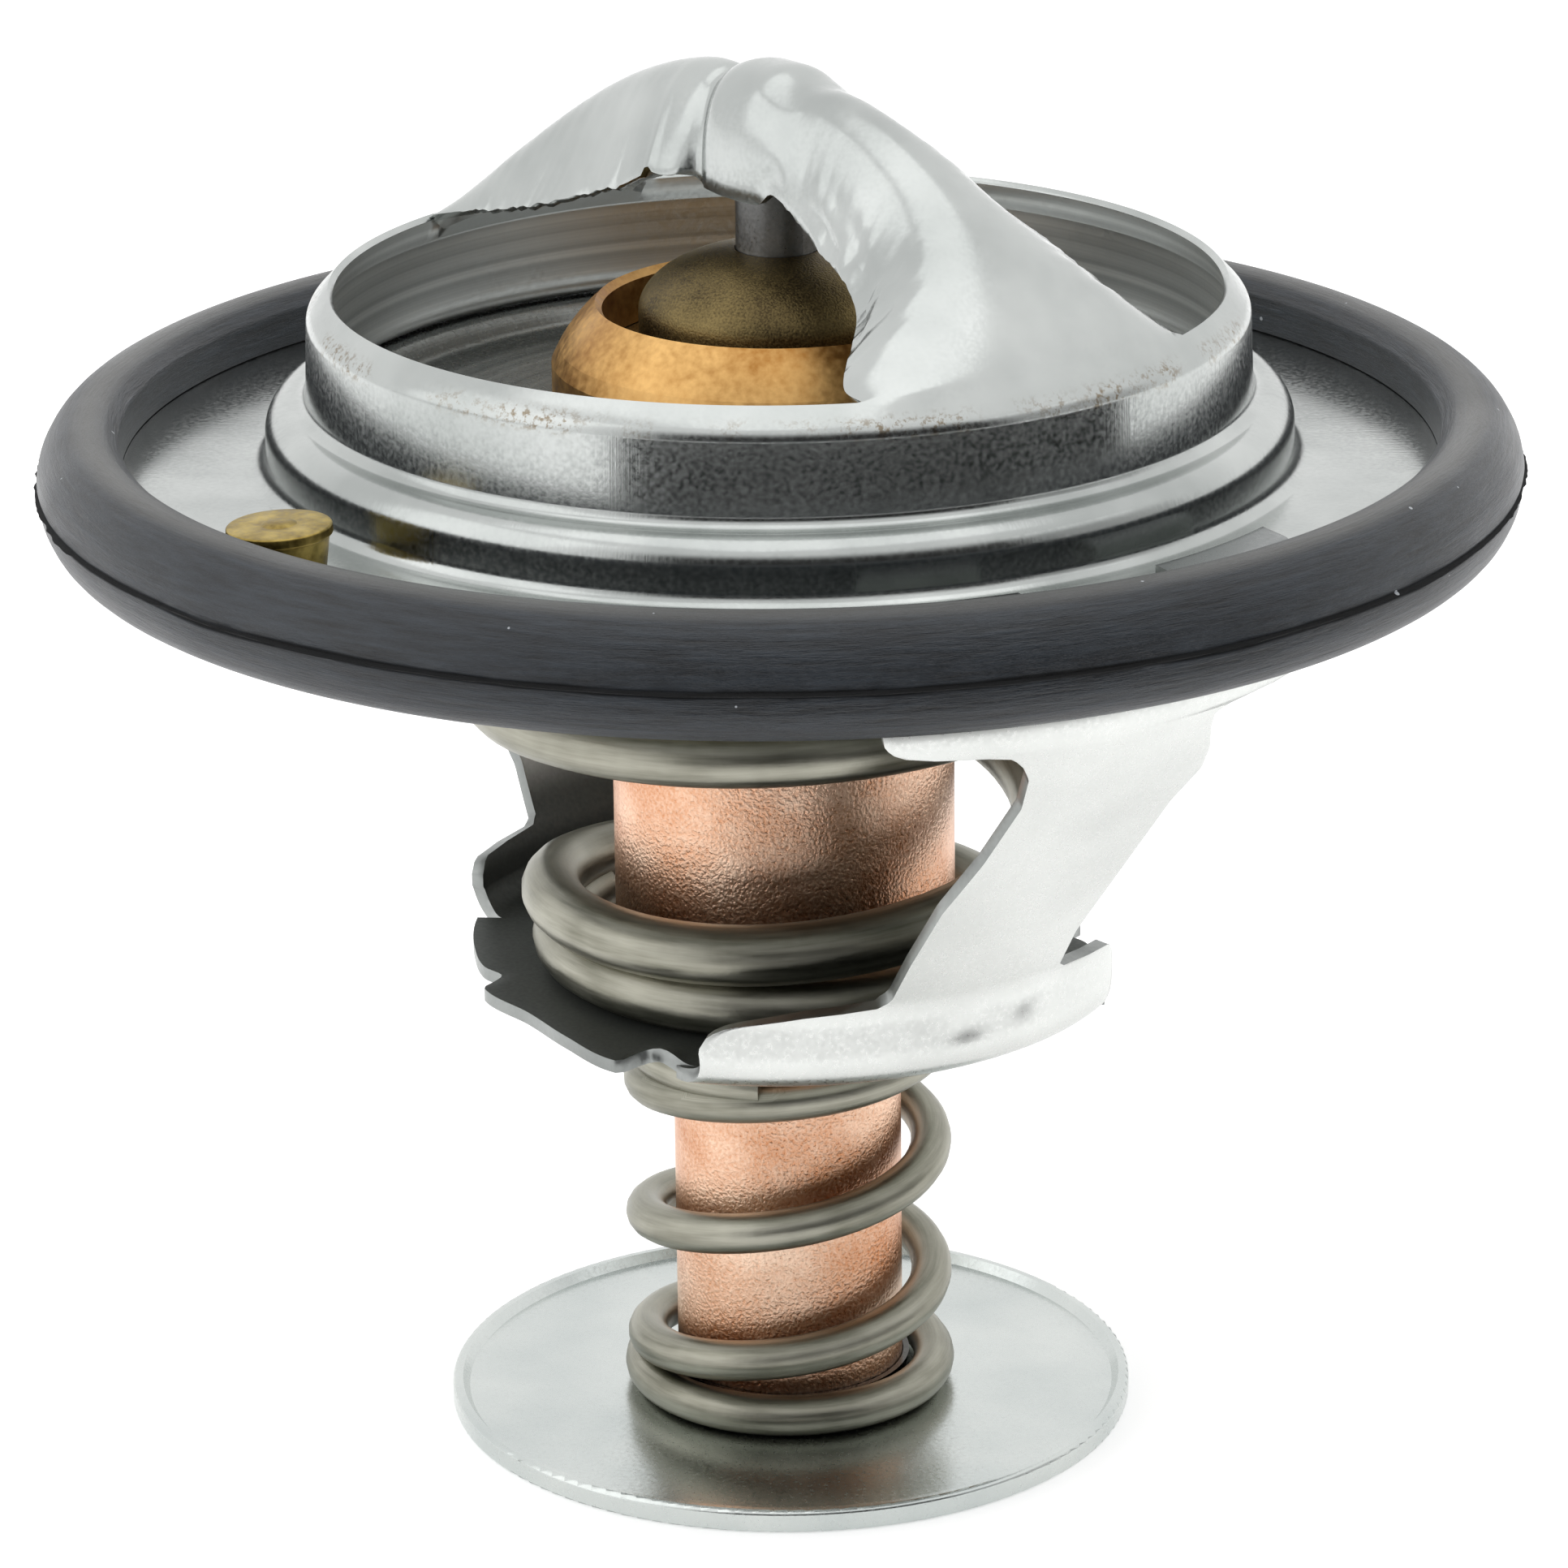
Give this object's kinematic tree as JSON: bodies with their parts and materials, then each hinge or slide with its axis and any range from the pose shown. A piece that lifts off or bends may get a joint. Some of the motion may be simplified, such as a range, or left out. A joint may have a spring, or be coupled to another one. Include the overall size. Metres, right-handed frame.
{
  "type": "engine thermostat",
  "caption": "Wax-element coolant thermostat with a bridged housing, rubber ring seal, spring-loaded main valve, bracket and sprung bypass disc.",
  "frame": {"origin": "on the axis, at mid-thickness of the flange and of the seal's rim", "axes": "+Z along the axis towards the bridge, +X along the bridge"},
  "size_m": [0.067, 0.067, 0.0644],
  "materials": {
    "plated_steel": "satin, zinc plated",
    "rubber": "matt moulded rubber",
    "brass": "satin turned brass",
    "polished_steel": "ground satin",
    "dark_brass": "satin, tarnished",
    "copper": "grit blasted copper",
    "spring_wire": "drawn wire",
    "bright_steel": "satin rolled sheet",
    "sleeve_rubber": "matt",
    "washer_plastic": "smooth",
    "wax": "copper-filled wax, as a stiff solid"
  },
  "bodies": {
    "frame": {"housing": "plated_steel", "seal": "rubber", "piston": "polished_steel", "bracket": "bright_steel", "main_spring": "spring_wire"},
    "element": {"valve_plate": "plated_steel", "collar": "brass", "guide": "dark_brass", "cup": "copper", "sleeve": "sleeve_rubber", "washer": "washer_plastic", "wax": "wax", "retaining_ring": "spring_wire", "bypass_spring": "spring_wire"},
    "bypass": {"bypass_disc": "bright_steel"},
    "jiggle": {"jiggle_pin": "brass"}
  },
  "joints": [
    {"name": "valve_lift", "type": "slide", "parent": "frame", "child": "element", "axis": [0, 0, -1], "range_m": [0, 0.008], "stiffness_N_per_m": 8800, "springref_m": -0.0005, "deforming": ["main_spring"]},
    {"name": "bypass_yield", "type": "slide", "parent": "element", "child": "bypass", "axis": [0, 0, 1], "range_m": [0, 0.006], "stiffness_N_per_m": 15000, "springref_m": -0.0001, "deforming": ["bypass_spring"]},
    {"name": "jiggle_lift", "type": "slide", "parent": "frame", "child": "jiggle", "axis": [0, 0, 1], "range_m": [0, 0.0012]}
  ]
}
